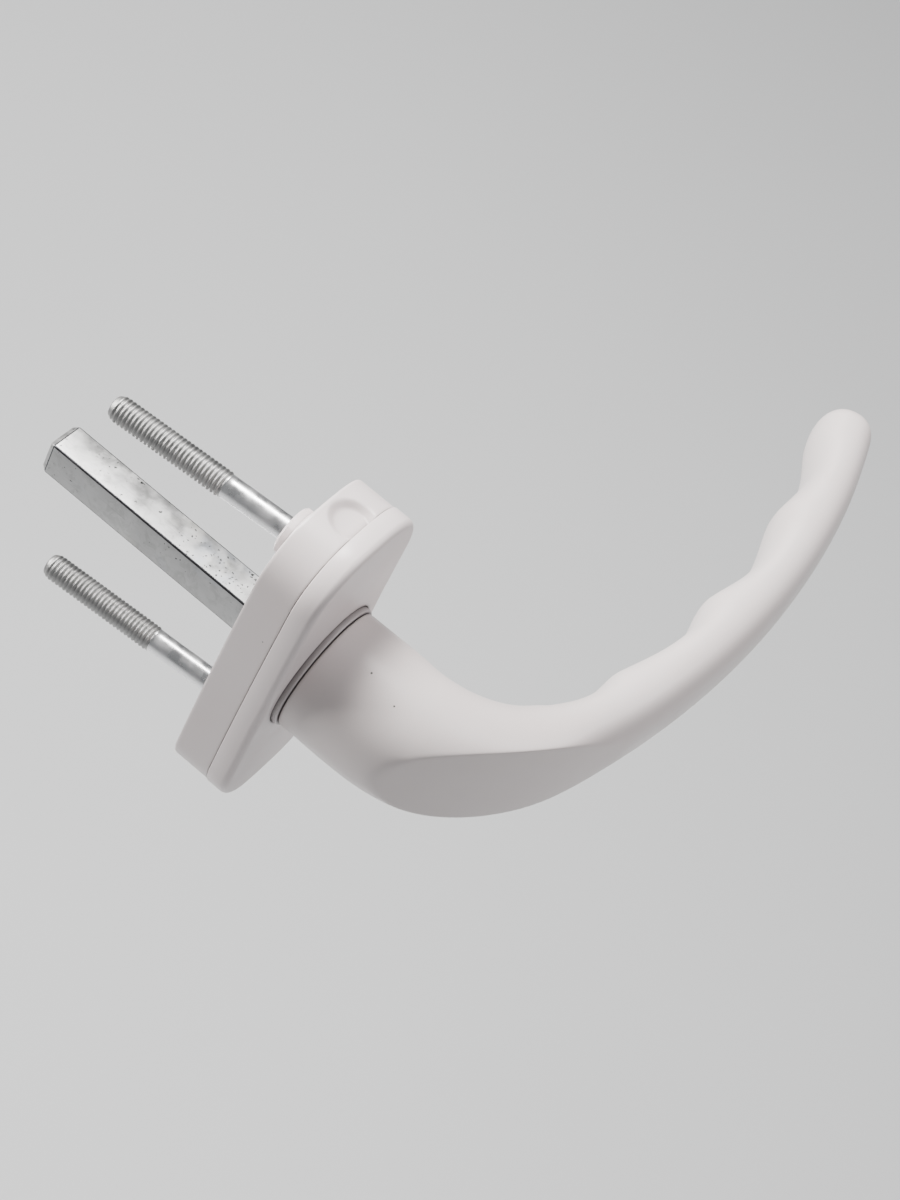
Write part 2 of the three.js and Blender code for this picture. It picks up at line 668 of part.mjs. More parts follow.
// Pan head screw on its own axis, measured from the pivot where it leans in its hole.
function makeScrew() {
  const own = (height) => height - SCREW_PIVOT_HEIGHT;
  const headBottom = SCREW_HEAD_TOP - SCREW_HEAD_THICKNESS;
  const profile = [
    [0, own(SCREW_HEAD_TOP)],
    [SCREW_HEAD_RADIUS * 0.72, own(SCREW_HEAD_TOP)],
    [SCREW_HEAD_RADIUS, own(SCREW_HEAD_TOP - 0.9)],
    [SCREW_HEAD_RADIUS, own(headBottom)],
    [SCREW_SHANK_RADIUS, own(headBottom)],
    [SCREW_SHANK_RADIUS, own(-SCREW_THREAD_START)],
  ];
  const crests = Math.floor((SCREW_TIP - 1 - SCREW_THREAD_START) / SCREW_PITCH);
  for (let i = 0; i < crests; i += 1) {
    const start = SCREW_THREAD_START + i * SCREW_PITCH;
    profile.push([SCREW_ROOT_RADIUS, own(-start - 0.12)]);
    profile.push([SCREW_THREAD_RADIUS, own(-start - SCREW_PITCH / 2)]);
  }
  profile.push([SCREW_ROOT_RADIUS, own(-SCREW_TIP + 0.8)]);
  profile.push([SCREW_ROOT_RADIUS * 0.7, own(-SCREW_TIP)]);
  profile.push([0, own(-SCREW_TIP)]);
  let screw = turned(profile, SCREW_SEGMENTS);
  const recess = own(SCREW_HEAD_TOP);
  screw = screw.subtract(block(1.1, recess - 1.5, recess + 1, 4.4));
  return screw.subtract(block(4.4, recess - 1.5, recess + 1, 1.1));
}

// The screws hang loose in their holes, leaning the same way.
function placeScrew(mesh, side) {
  mesh.position.set(0, -SCREW_PIVOT_HEIGHT, (side * SCREW_SPACING) / 2);
  mesh.rotation.set(-SCREW_LEAN_TO_END, 0, SCREW_LEAN_TO_SIDE);
  return mesh;
}

// ---------------------------------------------------------------- assembly

const handle = new THREE.Group();
handle.name = "tilt_turn_handle";

const rose = new THREE.Group();
rose.add(meshOf("base_plate", makeBase(), WHITE_PLASTIC));
rose.add(meshOf("collar_bush", makeCollar(), GREY_PLASTIC));
rose.add(meshOf("back_plate", makeBackPlate(), PLAIN_STEEL));
rivetPlaces().forEach(([x, z], i) => {
  const rivet = meshOf(`back_plate_rivet_${i + 1}`, rivetBody(0), PLAIN_STEEL);
  rivet.position.set(x, 0, z);
  rose.add(rivet);
});
rose.add(meshOf("friction_washer", makeFrictionWasher(), NATURAL_NYLON));
rose.add(meshOf("detent_ball_upper", makeBall(1), PLAIN_STEEL));
rose.add(meshOf("detent_ball_lower", makeBall(-1), PLAIN_STEEL));
rose.add(meshOf("detent_spring_upper", makeSpring(1), PLAIN_STEEL));
rose.add(meshOf("detent_spring_lower", makeSpring(-1), PLAIN_STEEL));
rose.add(placeScrew(meshOf("screw_upper", makeScrew(), BRIGHT_ZINC), 1));
rose.add(placeScrew(meshOf("screw_lower", makeScrew(), BRIGHT_ZINC), -1));

const cover = new THREE.Group();
cover.add(meshOf("cover_cap", makeCover(), WHITE_COAT));
cover.add(meshOf("cover_slide_ring", makeSlideRing(), NATURAL_NYLON));

const turning = new THREE.Group();
turning.add(meshOf("lever", makeLever(), WHITE_COAT));
turning.add(meshOf("spindle", makeSpindle(), BRIGHT_ZINC));
turning.add(meshOf("spindle_grub_screw", makeGrubScrew(), PLAIN_STEEL));
turning.add(meshOf("index_disc", makeIndexDisc(), PLAIN_STEEL));
turning.add(meshOf("thrust_washer", makeThrustWasher(), NATURAL_NYLON));
turning.add(meshOf("retaining_ring", makeRetainingRing(), PLAIN_STEEL));

handle.add(rose, cover, turning);

export default handle;
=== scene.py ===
"""Looks for the tilt and turn window handle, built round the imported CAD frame."""

import math

import bmesh
import bpy
import numpy as np
from mathutils import Matrix, Vector


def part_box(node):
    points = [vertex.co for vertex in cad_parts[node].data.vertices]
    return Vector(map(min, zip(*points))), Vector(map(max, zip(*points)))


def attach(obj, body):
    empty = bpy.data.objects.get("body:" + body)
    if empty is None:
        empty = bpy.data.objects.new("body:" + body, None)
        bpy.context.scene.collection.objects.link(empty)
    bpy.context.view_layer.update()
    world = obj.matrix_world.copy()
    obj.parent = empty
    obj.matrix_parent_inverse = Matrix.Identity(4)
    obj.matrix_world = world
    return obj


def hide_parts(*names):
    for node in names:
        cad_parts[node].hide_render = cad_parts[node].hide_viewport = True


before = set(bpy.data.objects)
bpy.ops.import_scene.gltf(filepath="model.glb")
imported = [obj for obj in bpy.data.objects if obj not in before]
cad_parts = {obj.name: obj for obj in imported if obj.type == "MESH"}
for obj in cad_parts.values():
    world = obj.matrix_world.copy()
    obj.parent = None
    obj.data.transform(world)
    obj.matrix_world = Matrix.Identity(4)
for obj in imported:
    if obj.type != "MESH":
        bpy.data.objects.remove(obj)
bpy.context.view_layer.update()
MM = 0.001

# ---------------------------------------------------------------- sizes, in millimetres
# Heights are distances out of the mounting face, along -Y.

ROSE_HALF_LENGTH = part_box("cover_cap")[1].z / MM
ROSE_HALF_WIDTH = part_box("cover_cap")[1].x / MM
ROSE_CORNER = 11.2
ROSE_SIDE_RADIUS = 470.0
ROSE_END_RADIUS = 53.0

BASE_TOP = -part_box("base_plate")[0].y / MM
BASE_INSET = 0.2
BOSS_LENGTH = 3.3
CHAMBER_RADIUS = 13.2
RIVET_CIRCLE = 11.6
SCOOP_RADIUS = 4.5
SCOOP_DEPTH = 1.15

COVER_BOTTOM = BASE_TOP + 0.06
COVER_TOP = -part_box("cover_cap")[0].y / MM
COVER_FACE = 11.7
COVER_SHOULDER = 1.3
COVER_WALL = 1.6
COVER_CEILING = 10.2
COVER_HOLE = 12.45
CROWN_EDGE = 16.6

COLLAR_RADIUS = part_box("collar_bush")[1].x / MM + 0.3
COLLAR_BORE = 9.3
COLLAR_BOTTOM = 6.9
COLLAR_TOP = 12.9

NECK_BOTTOM = 13.2
NECK_FOOT = 12.96
SOCKET_WIDTH = 7.5
GRUB_HEIGHT = 20.0
GRUB_HOLE_RADIUS = 2.8

SCREW_Z = 21.5
SCREW_PIVOT = 2.4
SCREW_LEAN_X = -2.6
SCREW_LEAN_Z = 2.9
SHANK, CREST, ROOT, PITCH = 2.2, 2.45, 2.2, 0.8
THREAD_START, SCREW_TIP, HEAD_TOP = 15.7, 39.3, 6.9

SPINDLE_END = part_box("spindle")[1].y / MM
SPINDLE_WIDTH = 7.0
SPINDLE_TOP = 30.0
SPINDLE_CORNER = 0.34
SPINDLE_CHAMFER = 1.05

DETENT_HEIGHT = 3.75
BALL_RADIUS = 1.45
BALL_REACH = 10.15
SPRING_INNER, SPRING_OUTER = 12.12, 15.08
SPRING_RADIUS, SPRING_WIRE, SPRING_TURNS = 1.15, 0.22, 5


# ---------------------------------------------------------------- mesh helpers

def to_frame(points):
    """Rows of (x, height, z) in millimetres to frame metres."""
    p = np.asarray(points, float)
    return np.c_[p[:, 0], -p[:, 1], p[:, 2]] * MM


def new_object(name, verts, faces, materials):
    mesh = bpy.data.meshes.new(name)
    mesh.from_pydata([tuple(v) for v in verts], [], [tuple(f) for f in faces])
    mesh.validate()
    obj = bpy.data.objects.new(name, mesh)
    bpy.context.scene.collection.objects.link(obj)
    for material in materials:
        mesh.materials.append(material)
    work = bmesh.new()
    work.from_mesh(mesh)
    bmesh.ops.remove_doubles(work, verts=work.verts, dist=1e-7)
    bmesh.ops.recalc_face_normals(work, faces=work.faces)
    work.to_mesh(mesh)
    work.free()
    return obj


def from_rings(name, rings, materials, loop=False, caps=True, sharp=40):
    """A closed skin over a stack of rings that all have the same number of points."""
    n = len(rings[0])
    verts = np.vstack([to_frame(r) for r in rings])
    faces = []
    spans = len(rings) if loop else len(rings) - 1
    for i in range(spans):
        a, b = i * n, ((i + 1) % len(rings)) * n
        for j in range(n):
            k = (j + 1) % n
            faces.append((a + j, a + k, b + k, b + j))
    if caps and not loop:
        faces.append(tuple(range(n)))
        faces.append(tuple(range((len(rings) - 1) * n, len(rings) * n)))
    obj = new_object(name, verts, faces, materials)
    smooth(obj, sharp)
    return obj


def smooth(obj, sharp=40):
    obj.data.shade_smooth()
    obj.data.set_sharp_from_angle(angle=math.radians(sharp))


def bake_modifiers(obj):
    graph = bpy.context.evaluated_depsgraph_get()
    made = bpy.data.meshes.new_from_object(obj.evaluated_get(graph))
    obj.modifiers.clear()
    old = obj.data
    obj.data = made
    made.name = obj.name
    if old.users == 0:
        bpy.data.meshes.remove(old)


def combine(obj, other, operation):
    step = obj.modifiers.new("combine", "BOOLEAN")
    step.operation = operation
    step.solver = "EXACT"
    step.object = other
    bpy.context.view_layer.update()
    bake_modifiers(obj)
    bpy.data.objects.remove(other)


def soften(obj, width, segments=2, angle=35, sharp=40):
    """Rounds every edge sharper than the angle by a small width in millimetres."""
    step = obj.modifiers.new("round", "BEVEL")
    step.width = width * MM
    step.segments = segments
    step.limit_method = "ANGLE"
    step.angle_limit = math.radians(angle)
    step.use_clamp_overlap = True
    step.harden_normals = False
    bpy.context.view_layer.update()
    bake_modifiers(obj)
    smooth(obj, sharp)


def circle(radius, height, n, x=0.0, z=0.0, start=0.0):
    a = start + 2 * np.pi * np.arange(n) / n
    return np.c_[x + radius * np.cos(a), np.full(n, height), z + radius * np.sin(a)]


def turned(name, profile, materials, n=96, x=0.0, z=0.0, loop=False, sharp=40):
    """A turned body on a line along Y. The profile lists (radius, height)."""
    rings = [circle(r, h, n, x, z) for r, h in profile]
    return from_rings(name, rings, materials, loop=loop, sharp=sharp)


def rounded_profile(corners, radius, steps=4):
    """The corners of an open profile, with each inner corner turned into a small arc."""
    points = [np.array(c, float) for c in corners]
    out = [points[0]]
    for before, at, after in zip(points, points[1:], points[2:]):
        u, v = before - at, after - at
        lu, lv = np.linalg.norm(u), np.linalg.norm(v)
        cut = min(radius, lu * 0.45, lv * 0.45)
        start, end = at + u / lu * cut, at + v / lv * cut
        for t in np.linspace(0, 1, steps + 1):
            out.append((1 - t) ** 2 * start + 2 * t * (1 - t) * at + t**2 * end)
    out.append(points[-1])
    return [tuple(p) for p in out]


# ---------------------------------------------------------------- materials

def material(name, base, roughness, metallic=0.0, coat=0.0):
    """A new material. Returns it with its node maker and its surface shader."""
    made = bpy.data.materials.new(name)
    made.use_nodes = True
    tree = made.node_tree
    shader = tree.nodes["Principled BSDF"]
    shader.inputs["Base Color"].default_value = (*base, 1)
    shader.inputs["Roughness"].default_value = roughness
    shader.inputs["Metallic"].default_value = metallic
    shader.inputs["Coat Weight"].default_value = coat
    shader.inputs["Coat Roughness"].default_value = 0.25
    return made, tree, shader


def place(tree, stretch=(1, 1, 1), turn=(0, 0, 0)):
    """Object coordinates, stretched along the axes, as a vector socket."""
    where = tree.nodes.new("ShaderNodeTexCoord")
    mapping = tree.nodes.new("ShaderNodeMapping")
    mapping.inputs["Scale"].default_value = stretch
    mapping.inputs["Rotation"].default_value = turn
    tree.links.new(where.outputs["Object"], mapping.inputs["Vector"])
    return mapping.outputs["Vector"]


def noise(tree, vector, scale, detail=4.0, roughness=0.55, distortion=0.0):
    made = tree.nodes.new("ShaderNodeTexNoise")
    made.inputs["Scale"].default_value = scale
    made.inputs["Detail"].default_value = detail
    made.inputs["Roughness"].default_value = roughness
    made.inputs["Distortion"].default_value = distortion
    tree.links.new(vector, made.inputs["Vector"])
    return made.outputs["Fac"]


def ramp(tree, source, low, high, out_low=0.0, out_high=1.0, smoothly=True):
    made = tree.nodes.new("ShaderNodeMapRange")
    made.interpolation_type = "SMOOTHSTEP" if smoothly else "LINEAR"
    made.inputs["From Min"].default_value = low
    made.inputs["From Max"].default_value = high
    made.inputs["To Min"].default_value = out_low
    made.inputs["To Max"].default_value = out_high
    tree.links.new(source, made.inputs["Value"])
    return made.outputs["Result"]


def mix_colour(tree, factor, a, b):
    """Mixes colours a and b, each a tuple or a socket, by a factor socket."""
    made = tree.nodes.new("ShaderNodeMix")
    made.data_type = "RGBA"
    made.clamp_factor = True
    tree.links.new(factor, made.inputs[0])
    for socket, value in ((made.inputs[6], a), (made.inputs[7], b)):
        if isinstance(value, tuple):
            socket.default_value = (*value, 1)
        else:
            tree.links.new(value, socket)
    return made.outputs[2]


def arithmetic(tree, operation, a, b):
    made = tree.nodes.new("ShaderNodeMath")
    made.operation = operation
    for socket, value in ((made.inputs[0], a), (made.inputs[1], b)):
        if isinstance(value, (int, float)):
            socket.default_value = value
        else:
            tree.links.new(value, socket)
    return made.outputs[0]


def bump(tree, shader, height, strength, distance):
    made = tree.nodes.new("ShaderNodeBump")
    made.inputs["Strength"].default_value = strength
    made.inputs["Distance"].default_value = distance
    tree.links.new(height, made.inputs["Height"])
    before = shader.inputs["Normal"].links
    if before:
        tree.links.new(before[0].from_socket, made.inputs["Normal"])
    tree.links.new(made.outputs["Normal"], shader.inputs["Normal"])


def warped(tree, vector, scale, reach):
    """The vector pushed about by noise, mostly within a reach in millimetres."""
    spread = 4  # noise stays within about a quarter of its middle
    made = tree.nodes.new("ShaderNodeTexNoise")
    made.inputs["Scale"].default_value = scale
    tree.links.new(vector, made.inputs["Vector"])
    centred = tree.nodes.new("ShaderNodeVectorMath")
    centred.operation = "SUBTRACT"
    centred.inputs[1].default_value = (0.5, 0.5, 0.5)
    tree.links.new(made.outputs["Color"], centred.inputs[0])
    pushed = tree.nodes.new("ShaderNodeVectorMath")
    pushed.operation = "MULTIPLY_ADD"
    pushed.inputs[1].default_value = [spread * reach * MM] * 3
    tree.links.new(centred.outputs["Vector"], pushed.inputs[0])
    tree.links.new(vector, pushed.inputs[2])
    return pushed.outputs["Vector"]


def specks(tree, vector, scale, size, share):
    """1 on a sparse scatter of small specks: a share of the cells has one of that size."""
    cells = tree.nodes.new("ShaderNodeTexVoronoi")
    cells.inputs["Scale"].default_value = scale
    tree.links.new(vector, cells.inputs["Vector"])
    spot = ramp(tree, cells.outputs["Distance"], size * 0.6, size, 1, 0)
    split = tree.nodes.new("ShaderNodeSeparateColor")
    tree.links.new(cells.outputs["Color"], split.inputs[0])
    chosen = ramp(tree, split.outputs[0], share * 0.98, share, 1, 0, smoothly=False)
    return arithmetic(tree, "MULTIPLY", spot, chosen)


def crevice_shade_mask(tree, distance, low=0.35, high=0.95):
    """1 deep in gaps and corners, 0 in the open, from ambient occlusion: the mask for painted shade there."""
    made = tree.nodes.new("ShaderNodeAmbientOcclusion")
    made.samples = 6
    made.inputs["Distance"].default_value = distance
    return ramp(tree, made.outputs["AO"], low, high, 1, 0)


def white_finish(name, tone, shade, roughness, peel, grain, speck_share, coat, marks=()):
    """White coat or moulded plastic: soft tone drift, fine surface grain, a few specks, painted shade in gaps
    and corners.
    """
    made, tree, shader = material(name, tone, roughness, coat=coat)
    where = place(tree)
    drift = ramp(tree, noise(tree, where, 55, 3), 0.35, 0.7)
    colour = mix_colour(tree, drift, tone, tuple(c * s for c, s in zip(tone, (0.975, 0.965, 0.96))))
    rubbed = ramp(tree, noise(tree, place(tree, (1, 3, 1)), 160, 5), 0.62, 0.78, 0, 0.35)
    colour = mix_colour(tree, rubbed, colour, tuple(c * 0.95 for c in tone))
    # painted shade: ambient occlusion darkens gaps and corners towards the shade colour
    colour = mix_colour(tree, crevice_shade_mask(tree, 0.0016), colour, shade)
    colour = mix_colour(tree, specks(tree, where, 170, 0.035, speck_share), colour, (0.09, 0.08, 0.075))
    for point, radius in marks:
        colour = mix_colour(tree, mark(tree, where, point, radius), colour, (0.06, 0.055, 0.05))
    tree.links.new(colour, shader.inputs["Base Color"])
    cloudy = ramp(tree, noise(tree, where, 90, 4), 0.3, 0.7, roughness - 0.05, roughness + 0.08)
    tree.links.new(cloudy, shader.inputs["Roughness"])
    bump(tree, shader, noise(tree, where, peel, 2), 0.06, 0.00005)
    bump(tree, shader, noise(tree, where, grain, 3), 0.1, 0.00002)
    return made


def metal_finish(name, tone, dark, roughness, stretch, streaks, speck_share, stain, grain):
    """Plated steel: drawn streaks along one axis, cloudy plating, painted shade in gaps and thread roots,
    small scratches and dark specks.
    """
    made, tree, shader = material(name, tone, roughness, metallic=1.0)
    where = place(tree)
    along = place(tree, stretch)
    cloud = ramp(tree, noise(tree, where, 220, 5, 0.6, 0.6), 0.4, 0.72, 0, stain)
    colour = mix_colour(tree, cloud, tone, dark)
    line = ramp(tree, noise(tree, along, 900, 4), 0.56, 0.74, 0, streaks)
    colour = mix_colour(tree, line, colour, tuple(c * 0.55 for c in tone))
    # painted shade: ambient occlusion darkens gaps and thread roots towards a deep tone of the dark colour
    colour = mix_colour(tree, crevice_shade_mask(tree, 0.0009), colour, tuple(c * 0.2 for c in dark))
    colour = mix_colour(tree, specks(tree, where, 420, 0.16, speck_share), colour, (0.05, 0.045, 0.04))
    tree.links.new(colour, shader.inputs["Base Color"])
    rough = ramp(tree, noise(tree, where, 300, 5), 0.3, 0.7, max(roughness - 0.07, 0.05), roughness + 0.1)
    tree.links.new(rough, shader.inputs["Roughness"])
    bump(tree, shader, noise(tree, along, 1400, 3), grain, 0.00002)
    return made


def galvanised(name):
    """Zinc on drawn bar: passivation tints, chalky blotches, fine scratches along it and clusters of pits."""
    tone, pale = (0.44, 0.44, 0.44), (0.53, 0.53, 0.53)
    blue, straw = (0.38, 0.42, 0.49), (0.46, 0.44, 0.37)
    made, tree, shader = material(name, tone, 0.4, metallic=1.0)
    where, along = place(tree), place(tree, (5, 0.16, 5))
    colour = mix_colour(tree, ramp(tree, noise(tree, where, 130, 4), 0.42, 0.62), tone, pale)
    straw_patch = ramp(tree, noise(tree, where, 70, 3), 0.52, 0.74, 0, 0.55)
    colour = mix_colour(tree, straw_patch, colour, straw)
    blue_patch = ramp(tree, noise(tree, place(tree, (1, 1, 1.7)), 95, 3), 0.55, 0.75, 0, 0.5)
    colour = mix_colour(tree, blue_patch, colour, blue)
    dull = ramp(tree, noise(tree, where, 420, 6, 0.7, 0.8), 0.48, 0.62, 0, 0.35)
    colour = mix_colour(tree, dull, colour, (0.28, 0.28, 0.27))
    line = ramp(tree, noise(tree, along, 700, 4), 0.6, 0.72, 0, 0.4)
    colour = mix_colour(tree, line, colour, (0.25, 0.25, 0.26))
    ragged = warped(tree, where, 2200, 0.22)
    cluster = ramp(tree, noise(tree, where, 85, 2), 0.44, 0.54)
    pits = arithmetic(tree, "MULTIPLY", specks(tree, ragged, 1500, 0.36, 0.3), cluster)
    stray = specks(tree, ragged, 420, 0.14, 0.14)
    colour = mix_colour(tree, arithmetic(tree, "MAXIMUM", pits, stray), colour, (0.045, 0.045, 0.045))
    tree.links.new(colour, shader.inputs["Base Color"])
    rough = ramp(tree, noise(tree, where, 260, 5), 0.3, 0.7, 0.3, 0.5)
    tree.links.new(rough, shader.inputs["Roughness"])
    bump(tree, shader, pits, -0.4, 0.00003)
    bump(tree, shader, noise(tree, along, 1400, 3), 0.15, 0.00002)
    return made


def mark(tree, where, point, radius):
    """1 within a ragged spot at a point, both in millimetres."""
    wander = tree.nodes.new("ShaderNodeTexNoise")
    wander.inputs["Scale"].default_value = 2500
    tree.links.new(where, wander.inputs["Vector"])
    gap = tree.nodes.new("ShaderNodeVectorMath")
    gap.operation = "DISTANCE"
    gap.inputs[1].default_value = [c * MM for c in point]
    tree.links.new(where, gap.inputs[0])
    ragged = arithmetic(tree, "MULTIPLY", gap.outputs["Value"], 1 / (radius * MM))
    ragged = arithmetic(tree, "ADD", ragged, arithmetic(tree, "SUBTRACT", wander.outputs["Fac"], 0.5))
    return ramp(tree, ragged, 0.7, 1.2, 1, 0)


NECK_MARKS = [((-3.87, -21.29, 11.25), 0.2), ((-5.57, -27.67, 10.52), 0.17)]
BASE_MARKS = [((-14.9, -5.74, 12.64), 0.22), ((-14.9, -5.4, 12.2), 0.14)]
WHITE_SHADE = (0.25, 0.21, 0.205)
COAT = white_finish(
    "powder_coat", (0.79, 0.718, 0.704), WHITE_SHADE, roughness=0.34,
    peel=620, grain=2600, speck_share=0.012, coat=0.3, marks=NECK_MARKS,
)
ROSE_WHITE = white_finish(
    "rose_plastic", (0.77, 0.698, 0.694), WHITE_SHADE, roughness=0.4,
    peel=380, grain=3400, speck_share=0.008, coat=0.15, marks=BASE_MARKS,
)
# The ring's own off-white plastic, toned down to grey as painted shade for the shadow it sits in inside the
# cover's hole.
COLLAR_GREY_AND_SHADE = white_finish(
    "collar_plastic_with_painted_shade", (0.55, 0.50, 0.50), (0.10, 0.09, 0.09), roughness=0.45,
    peel=380, grain=3400, speck_share=0.01, coat=0.1,
)
NYLON = white_finish(
    "nylon", (0.70, 0.66, 0.56), (0.22, 0.20, 0.16), roughness=0.55,
    peel=300, grain=2200, speck_share=0.01, coat=0.0,
)
ZINC = galvanised("zinc_plate")
# Painted dark reflection: near-black metal for the bar's rounded corners and end rim, drawing the dark lines
# along them.
PAINTED_DARK_EDGE = metal_finish(
    "painted_dark_edge", (0.07, 0.07, 0.075), (0.04, 0.04, 0.045), roughness=0.4, stretch=(6, 0.2, 6),
    streaks=0.5, speck_share=0.05, stain=0.5, grain=0.2,
)
SCREW_ZINC = metal_finish(
    "screw_zinc", (0.93, 0.93, 0.94), (0.8, 0.8, 0.81), roughness=0.29, stretch=(1, 6, 1),
    streaks=0.08, speck_share=0.01, stain=0.3, grain=0.03,
)
# Painted dark reflection: the thread has the shank's plating, given a far darker tone for the dark
# reflections in its turns.
SHADED_THREAD_ZINC = metal_finish(
    "thread_zinc_painted_dark", (0.36, 0.36, 0.355), (0.28, 0.28, 0.28), roughness=0.43, stretch=(1, 6, 1),
    streaks=0.1, speck_share=0.01, stain=0.3, grain=0.05,
)
STEEL = metal_finish(
    "spring_steel", (0.48, 0.49, 0.50), (0.30, 0.30, 0.31), roughness=0.3, stretch=(4, 4, 0.3),
    streaks=0.25, speck_share=0.03, stain=0.5, grain=0.2,
)


# ---------------------------------------------------------------- rose

def arc(cx, cz, radius, start, end, n):
    a = np.linspace(start, end, n, endpoint=False)
    return np.c_[cx + radius * np.cos(a), cz + radius * np.sin(a), np.cos(a), np.sin(a)]


def rose_outline():
    """Points (x, z) of the rose's outline with their outward directions, as four arcs and four corners."""
    span_side = ROSE_SIDE_RADIUS - ROSE_CORNER
    span_end = ROSE_END_RADIUS - ROSE_CORNER
    side_x = ROSE_HALF_WIDTH - ROSE_SIDE_RADIUS
    end_z = ROSE_HALF_LENGTH - ROSE_END_RADIUS
    apart = math.hypot(side_x, end_z)
    along = (span_side**2 - span_end**2 + apart**2) / (2 * apart)
    across = math.sqrt(span_side**2 - along**2)
    ux, uz = -side_x / apart, end_z / apart
    options = [(side_x + ux * along + s * uz * across, uz * along - s * ux * across) for s in (1, -1)]
    cx, cz = max(options, key=lambda c: min(c))
    to_side = math.atan2(cz, cx - side_x)
    to_end = math.atan2(cz - end_z, cx)
    pi = math.pi
    return np.vstack([
        arc(side_x, 0, ROSE_SIDE_RADIUS, -to_side, to_side, 36),
        arc(cx, cz, ROSE_CORNER, to_side, to_end, 30),
        arc(0, end_z, ROSE_END_RADIUS, to_end, pi - to_end, 54),
        arc(-cx, cz, ROSE_CORNER, pi - to_end, pi - to_side, 30),
        arc(-side_x, 0, ROSE_SIDE_RADIUS, pi - to_side, pi + to_side, 36),
        arc(-cx, -cz, ROSE_CORNER, pi + to_side, pi + to_end, 26),
        arc(0, -end_z, ROSE_END_RADIUS, pi + to_end, 2 * pi - to_end, 20),
        arc(cx, -cz, ROSE_CORNER, 2 * pi - to_end, 2 * pi - to_side, 26),
    ])


OUTLINE = rose_outline()


def outline_ring(inset, height):
    x = OUTLINE[:, 0] - inset * OUTLINE[:, 2]
    z = OUTLINE[:, 1] - inset * OUTLINE[:, 3]
    return np.c_[x, np.full(len(x), height), z]


def hole_ring(radius, height):
    """A circle with one point on the same ray as each point of the outline."""
    a = np.arctan2(OUTLINE[:, 1], OUTLINE[:, 0])
    return np.c_[radius * np.cos(a), np.full(len(a), height), radius * np.sin(a)]


def thumb_scoop(ring):
    """Sinks the shallow round pry scoop into the upper end wall."""
    away = np.hypot(ring[:, 0] - 0.3, ring[:, 1] - 5.3)
    t = np.clip((SCOOP_RADIUS - away) / 1.7, 0, 1)
    depth = SCOOP_DEPTH * t * t * (3 - 2 * t)
    ring[:, 2] -= np.where(ring[:, 2] > 0, depth, 0)
    return ring


def make_base():
    edge = BASE_INSET
    rings = [outline_ring(edge + 0.35, 0), outline_ring(edge + 0.1, 0.09), outline_ring(edge, 0.35)]
    rings += [thumb_scoop(outline_ring(edge, h)) for h in np.linspace(0.6, BASE_TOP - 0.2, 26)]
    rings.append(thumb_scoop(outline_ring(edge + 0.06, BASE_TOP - 0.06)))
    rings.append(thumb_scoop(outline_ring(edge + 0.2, BASE_TOP)))
    base = from_rings("rose_base", rings, [ROSE_WHITE])
    for side in (1, -1):
        z = side * SCREW_Z
        boss = [(0.4, 1.0), (5.0, 1.0), (5.0, -1.55), (4.85, -1.7), (4.5, -1.7)]
        boss += [(4.5, 0.35 - BOSS_LENGTH), (4.15, -BOSS_LENGTH), (0.4, -BOSS_LENGTH)]
        combine(base, turned("boss", boss, [ROSE_WHITE], 72, z=z), "UNION")
        combine(base, turned("hole", [(2.9, -5), (2.9, 9)], [ROSE_WHITE], 48, z=z), "DIFFERENCE")
        combine(base, turned("seat", [(5.1, 3.6), (5.1, 9)], [ROSE_WHITE], 64, z=z), "DIFFERENCE")
        pocket = turned("pocket", [(1.7, 0), (1.7, 7.6)], [ROSE_WHITE], 32)
        lay_outward = Matrix.Rotation(math.radians(-90 * side), 4, "X")
        pocket.data.transform(Matrix.Translation((0, -DETENT_HEIGHT * MM, side * 8 * MM)) @ lay_outward)
        combine(base, pocket, "DIFFERENCE")
    chamber = [(CHAMBER_RADIUS, -1), (CHAMBER_RADIUS, 1.6), (9.6, 1.6), (9.6, 5.8), (7.0, 5.8), (7.0, 9)]
    combine(base, turned("chamber", chamber, [ROSE_WHITE], 96), "DIFFERENCE")
    seat = [(9.0, 6.6), (12.35, 6.6), (12.35, 9), (9.0, 9)]
    combine(base, turned("collar_seat", seat, [ROSE_WHITE], 96, loop=True), "DIFFERENCE")
    for x, z in rivet_places():
        combine(base, turned("rivet_hole", [(1.0, -1), (1.0, 4.5)], [ROSE_WHITE], 24, x, z), "DIFFERENCE")
    soften(base, 0.12, 2, 42, 38)
    return base


def rivet_places():
    turns = [math.pi / 4 * k for k in (1, 3, 5, 7)]
    return [(RIVET_CIRCLE * math.cos(a), RIVET_CIRCLE * math.sin(a)) for a in turns]


def cover_height(points, shoulder):
    """Crown that flares up to the hole, added to the shoulder height."""
    r = np.hypot(points[:, 0], points[:, 2])
    t = np.clip((CROWN_EDGE - r) / (CROWN_EDGE - COVER_HOLE - 0.2), 0, 1)
    lift = (COVER_TOP - COVER_FACE) * t * t * (3 - 2 * t)
    points[:, 1] = np.minimum(shoulder + lift, COVER_TOP)
    return points


